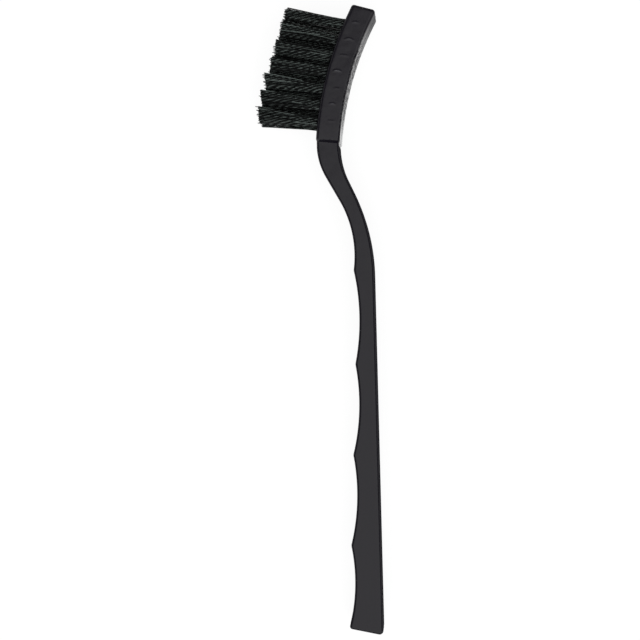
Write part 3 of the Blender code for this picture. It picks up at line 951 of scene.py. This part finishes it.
def tuft_points(places, shift):
    """A mesh of one point for each tuft, with the attributes that the bristle tree reads."""
    mesh = bpy.data.meshes.new("tufts")
    mesh.from_pydata([tuple(place.root + shift) for place in places], [], [])
    trims = [tuft_trim(place) for place in places]
    frames = [Matrix.Translation(shift) @ place_matrix(place) for place in places]
    lengths = [place.length + trim.longer for place, trim in zip(places, trims)]
    set_attribute(mesh, "path_frame", "FLOAT4X4", frames)
    set_attribute(mesh, "path_length", "FLOAT", lengths)
    set_attribute(mesh, "path_rise", "FLOAT", [trim.rise for trim in trims])
    set_attribute(mesh, "path_sway", "FLOAT_VECTOR", [(trim.sway, 0, 0) for trim in trims])
    set_attribute(mesh, "path_spread", "FLOAT_VECTOR", [(trim.spread, ROW_SPREAD, 0) for trim in trims])
    return mesh


def bristle_tree():
    """The tree that grows every tuft from its point: strands packed in the hole round the anchor, which
    spread, cross and waver towards a trimmed end. Its own attributes start with path_ and are removed."""
    tree = bpy.data.node_groups.new("bristle_tufts", "GeometryNodeTree")
    tree.interface.new_socket(name="Tufts", in_out="INPUT", socket_type="NodeSocketGeometry")
    for name, kind, _ in BRISTLE_INPUTS:
        tree.interface.new_socket(name=name, in_out="INPUT", socket_type=kind)
    tree.interface.new_socket(name="Material", in_out="INPUT", socket_type="NodeSocketMaterial")
    tree.interface.new_socket(name="Bristles", in_out="OUTPUT", socket_type="NodeSocketGeometry")
    given = add_node(tree, "NodeGroupInput").outputs

    # One point for each strand, then one for each point of the strand.
    points = add_node(tree, "GeometryNodeMeshToPoints", {"Mesh": given["Tufts"]})
    points = add_node(
        tree,
        "GeometryNodeDuplicateElements",
        {"Geometry": points, "Amount": given["Strands in a tuft"]},
        domain="POINT",
    )
    for name, value in (
        ("path_in_tuft", points.outputs["Duplicate Index"]),
        ("path_strand", add_node(tree, "GeometryNodeInputIndex")),
    ):
        points = add_node(
            tree,
            "GeometryNodeStoreNamedAttribute",
            {"Geometry": points, "Name": name, "Value": value},
            data_type="INT",
            domain="POINT",
        )
    points = add_node(
        tree,
        "GeometryNodeDuplicateElements",
        {"Geometry": points, "Amount": given["Points in a strand"]},
        domain="POINT",
    )
    points = add_node(
        tree,
        "GeometryNodeStoreNamedAttribute",
        {"Geometry": points, "Name": "path_step", "Value": points.outputs["Duplicate Index"]},
        data_type="INT",
        domain="POINT",
    )
    path = {}
    for name, kind in (
        ("frame", "FLOAT4X4"),
        ("length", "FLOAT"),
        ("rise", "FLOAT"),
        ("sway", "FLOAT_VECTOR"),
        ("spread", "FLOAT_VECTOR"),
        ("in_tuft", "INT"),
        ("strand", "INT"),
        ("step", "INT"),
    ):
        path[name] = add_node(
            tree, "GeometryNodeInputNamedAttribute", {"Name": f"path_{name}"}, data_type=kind
        )

    # In the hole the strands are packed evenly, on the golden angle, on both sides of the anchor.
    share = add_node(
        tree, "ShaderNodeMath", {0: path["in_tuft"], 1: given["Strands in a tuft"]}, operation="DIVIDE"
    )
    spoke = add_node(tree, "ShaderNodeMath", {0: share}, operation="SQRT")
    spoke = add_node(tree, "ShaderNodeCombineXYZ", {"X": spoke})
    turn = add_node(
        tree, "ShaderNodeMath", {0: path["in_tuft"], 1: GOLDEN_ANGLE}, operation="MULTIPLY"
    )
    packed = add_node(
        tree, "ShaderNodeVectorRotate", {"Vector": spoke, "Angle": turn}, rotation_type="Z_AXIS"
    )
    side = add_node(tree, "ShaderNodeVectorMath", {0: packed}, operation="SIGN")
    slit = add_node(tree, "ShaderNodeCombineXYZ", {"X": given["Slit"]})
    slit = add_node(tree, "ShaderNodeVectorMath", {0: side, 1: slit}, operation="MULTIPLY")
    root = add_node(
        tree,
        "ShaderNodeVectorMath",
        {0: packed, 1: given["Pack radius"], 2: slit},
        operation="MULTIPLY_ADD",
    )

    # At the tip each strand is partly over its root and partly where its own crossing takes it.
    wild = add_node(
        tree,
        "FunctionNodeRandomValue",
        {0: (-1, -1, -1), 1: (1, 1, 1), "ID": path["strand"], "Seed": given["Crossing seed"]},
        data_type="FLOAT_VECTOR",
    )
    twisted = add_node(
        tree, "ShaderNodeVectorRotate", {"Vector": packed, "Angle": given["Twist"]}, rotation_type="Z_AXIS"
    )
    crossed = add_node(
        tree, "ShaderNodeMix", {0: given["Crossing"], 4: twisted, 5: wild}, data_type="VECTOR"
    )
    tip = add_node(
        tree,
        "ShaderNodeVectorMath",
        {0: crossed, 1: path["spread"], 2: path["sway"]},
        operation="MULTIPLY_ADD",
    )

    # The trimmed length, with its scatter and a few strays that stand out.
    chance = add_node(
        tree,
        "FunctionNodeRandomValue",
        {0: (0, 0, 0), 1: (1, 1, 1), "ID": path["strand"], "Seed": given["Trim seed"]},
        data_type="FLOAT_VECTOR",
    )
    chance = add_node(tree, "ShaderNodeSeparateXYZ", {0: chance})
    tip_parts = add_node(tree, "ShaderNodeSeparateXYZ", {0: tip})
    length = add_node(
        tree,
        "ShaderNodeMath",
        {0: tip_parts.outputs["X"], 1: path["rise"], 2: path["length"]},
        operation="MULTIPLY_ADD",
    )
    shorter = add_node(
        tree, "ShaderNodeMath", {0: chance.outputs["X"], 1: given["Trim scatter"]}, operation="MULTIPLY"
    )
    length = add_node(tree, "ShaderNodeMath", {0: length, 1: shorter}, operation="SUBTRACT")
    stray = add_node(
        tree, "ShaderNodeMath", {0: chance.outputs["Y"], 1: STRAY_POWER}, operation="POWER"
    )
    length = add_node(
        tree,
        "ShaderNodeMath",
        {0: stray, 1: given["Stray length"], 2: length},
        operation="MULTIPLY_ADD",
    )

    # The first point is at the fold, the second at the hole's mouth, and the rest share the free length.
    last_step = add_node(
        tree, "ShaderNodeMath", {0: given["Points in a strand"], 1: 1.0}, operation="SUBTRACT"
    )
    reach = add_node(
        tree, "ShaderNodeMapRange", {"Value": path["step"], "From Min": 1.0, "From Max": last_step}
    )
    fold = add_node(
        tree, "ShaderNodeMapRange", {"Value": path["step"], "To Min": given["Fold height"], "To Max": 0.0}
    )
    height = add_node(
        tree, "ShaderNodeMath", {0: length, 1: reach, 2: fold}, operation="MULTIPLY_ADD"
    )
    fan = add_node(tree, "ShaderNodeMath", {0: reach, 1: given["Fan"]}, operation="POWER")
    lateral = add_node(tree, "ShaderNodeMix", {0: fan, 4: root, 5: tip}, data_type="VECTOR")
    gathered = add_node(
        tree, "ShaderNodeMapRange", {"Value": path["step"], "To Min": FOLD_GATHER, "To Max": 1.0}
    )
    lateral = add_node(
        tree, "ShaderNodeVectorMath", {0: lateral, "Scale": gathered}, operation="SCALE"
    )

    # The waver comes in along the first two fifths of the free length.
    waves = add_node(
        tree, "ShaderNodeMath", {0: height, 1: given["Waves per metre"]}, operation="MULTIPLY"
    )
    wave_lane = add_node(
        tree, "ShaderNodeMath", {0: path["strand"], 1: WAVER_LANE}, operation="MULTIPLY"
    )
    wave_place = add_node(tree, "ShaderNodeCombineXYZ", {"X": wave_lane, "Y": waves})
    noise = add_node(
        tree,
        "ShaderNodeTexNoise",
        {"Vector": wave_place, "Scale": 1.0, "Detail": 1.0},
        noise_dimensions="2D",
    )
    waver = add_node(
        tree,
        "ShaderNodeVectorMath",
        {0: noise.outputs["Color"], 1: (0.5, 0.5, 0.5)},
        operation="SUBTRACT",
    )
    freedom = add_node(
        tree, "ShaderNodeMapRange", {"Value": reach, "From Max": 0.4, "To Max": given["Waver"]}
    )
    freedom = add_node(tree, "ShaderNodeCombineXYZ", {"X": freedom, "Y": freedom})
    lateral = add_node(
        tree, "ShaderNodeVectorMath", {0: waver, 1: freedom, 2: lateral}, operation="MULTIPLY_ADD"
    )
    rise = add_node(tree, "ShaderNodeCombineXYZ", {"Z": height})
    place = add_node(tree, "ShaderNodeVectorMath", {0: lateral, 1: rise}, operation="ADD")
    place = add_node(
        tree, "FunctionNodeTransformPoint", {"Vector": place, "Transform": path["frame"]}
    )
    points = add_node(tree, "GeometryNodeSetPosition", {"Geometry": points, "Position": place})
    points = add_node(
        tree,
        "GeometryNodeStoreNamedAttribute",
        {"Geometry": points, "Name": "strand_tone", "Value": chance.outputs["Z"]},
        data_type="FLOAT",
        domain="POINT",
    )
    lines = add_node(
        tree,
        "GeometryNodePointsToCurves",
        {"Points": points, "Curve Group ID": path["strand"], "Weight": path["step"]},
    )
    lines = add_node(
        tree, "GeometryNodeRemoveAttribute", {"Geometry": lines, "Name": "path_*"}, pattern_mode="WILDCARD"
    )
    profile = add_node(
        tree,
        "GeometryNodeCurvePrimitiveCircle",
        {"Resolution": STRAND_SIDES, "Radius": given["Strand radius"]},
        mode="RADIUS",
    )
    bristles = add_node(
        tree, "GeometryNodeCurveToMesh", {"Curve": lines, "Profile Curve": profile, "Fill Caps": True}
    )
    bristles = add_node(tree, "GeometryNodeSetShadeSmooth", {"Geometry": bristles})
    bristles = add_node(tree, "GeometryNodeRealizeInstances", {"Geometry": bristles})
    bristles = add_node(
        tree, "GeometryNodeSetMaterial", {"Geometry": bristles, "Material": given["Material"]}
    )
    add_node(tree, "NodeGroupOutput", {"Bristles": bristles})
    return tree


def build_bristles(places, shift, material):
    """All the strands of the twenty tufts, as one plain mesh."""
    bristles = new_piece("bristle_tufts", tuft_points(places, shift))
    modifier = bristles.modifiers.new("Bristles", "NODES")
    modifier.node_group = bristle_tree()
    values = {name: value for name, _, value in BRISTLE_INPUTS}
    values["Material"] = material
    for item in modifier.node_group.interface.items_tree:
        if item.in_out == "INPUT" and item.name in values:
            modifier[item.identifier] = values[item.name]
    settle(bristles)
    return bristles


# The floor: flat to its edge, which then turns up into a low wall all round.
FLOOR_RADIUS = 3.0
FLOOR_EDGE_RADIUS = 0.3
WALL_HEIGHT = 0.6
FLOOR_SIDES = 64
FLOOR_EDGE_STEPS = 12


def build_floor(material):
    """A round white floor with its low wall."""
    solid = bmesh.new()
    profile = []
    for step in range(FLOOR_EDGE_STEPS + 1):
        turn = math.pi / 2 * step / FLOOR_EDGE_STEPS
        profile.append(
            (FLOOR_RADIUS + FLOOR_EDGE_RADIUS * math.sin(turn), FLOOR_EDGE_RADIUS * (1 - math.cos(turn)))
        )
    profile.append((FLOOR_RADIUS + FLOOR_EDGE_RADIUS, WALL_HEIGHT))
    rings = []
    for radius, height in profile:
        spokes = [Matrix.Rotation(2 * math.pi * side / FLOOR_SIDES, 2) for side in range(FLOOR_SIDES)]
        rings.append([solid.verts.new((*(spoke @ Vector((radius, 0))), height)) for spoke in spokes])
    solid.faces.new(rings[0])
    for inner, outer in zip(rings, rings[1:]):
        for side in range(FLOOR_SIDES):
            solid.faces.new((inner[side - 1], outer[side - 1], outer[side], inner[side]))
    mesh = bpy.data.meshes.new("white_floor")
    solid.to_mesh(mesh)
    solid.free()
    mesh.shade_smooth()
    mesh.materials.append(material)
    new_piece("white_floor", mesh)


# The photograph was taken from above, a little from the handle's back.
CAMERA_DISTANCE = 387.0 * MM
CAMERA_YAW = math.radians(3.9)
CAMERA_ROLL = math.radians(1.479)
VIEW_ANGLE = math.radians(25.74)
SEEN_CENTRE = Vector((0.192, 0.614, 13.12)) * MM

# The lighting.
SOFTBOX_PLACE = (-0.36, -0.1, 0.9)
SOFTBOX_SIZE = 1.6
SOFTBOX_POWER = 15.5
ROOM_STRENGTH = 0.15


def add_camera():
    """The camera looks down at the brush, with the handle's length up the image."""
    camera_data = bpy.data.cameras.new("portrait_camera")
    camera = bpy.data.objects.new("portrait_camera", camera_data)
    bpy.context.scene.collection.objects.link(camera)
    view = Vector((0, math.sin(CAMERA_YAW), -math.cos(CAMERA_YAW)))
    across = Vector((0, math.cos(CAMERA_YAW), math.sin(CAMERA_YAW)))
    up = math.cos(CAMERA_ROLL) * Vector((1, 0, 0)) - math.sin(CAMERA_ROLL) * across
    right = view.cross(up)
    matrix = Matrix((right, up, -view)).transposed().to_4x4()
    matrix.translation = SEEN_CENTRE - view * CAMERA_DISTANCE
    camera.matrix_world = matrix
    camera_data.angle = VIEW_ANGLE
    camera_data.clip_start = 0.01
    bpy.context.scene.camera = camera


def light_studio():
    """One large softbox high over the butt's half of the brush, in a dim grey room."""
    lamp = bpy.data.lights.new("overhead_softbox", "AREA")
    lamp.shape = "SQUARE"
    lamp.size = SOFTBOX_SIZE
    lamp.energy = SOFTBOX_POWER
    softbox = bpy.data.objects.new("overhead_softbox", lamp)
    softbox.location = SOFTBOX_PLACE
    softbox.rotation_euler = (-Vector(SOFTBOX_PLACE)).to_track_quat("-Z", "Y").to_euler()
    softbox.visible_camera = False
    bpy.context.scene.collection.objects.link(softbox)
    world = bpy.data.worlds.new("dim_grey_room")
    bpy.context.scene.world = world
    world.use_nodes = True
    world.node_tree.nodes.clear()
    light = add_node(
        world.node_tree, "ShaderNodeBackground", {"Color": linear("#ffffff"), "Strength": ROOM_STRENGTH}
    )
    add_node(world.node_tree, "ShaderNodeOutputWorld", {"Surface": light})


def build_scene():
    """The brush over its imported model, its floor, its light and the camera."""
    places = tuft_places()
    satin_plastic = moulded_black_polypropylene()
    sheen_painted_plastic = dull_polypropylene_painted_sheen()
    bristle_nylon = extruded_black_nylon()
    anchor_steel = drawn_steel_wire()

    moulding = build_moulding(places, satin_plastic, sheen_painted_plastic)
    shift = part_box("body")[0] - mesh_low(moulding)
    put_in_frame(moulding, shift)
    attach(moulding, "root")
    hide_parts("body")

    bristles = build_bristles(places, shift, bristle_nylon)
    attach(bristles, "root")
    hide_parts(*[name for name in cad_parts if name.startswith("tuft_")])

    for name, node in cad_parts.items():
        if name.startswith("anchor_"):
            node.data.materials.clear()
            node.data.materials.append(anchor_steel)

    build_floor(white_sweep_paper())
    add_camera()
    light_studio()
    bpy.context.scene.view_settings.view_transform = "Standard"


build_scene()
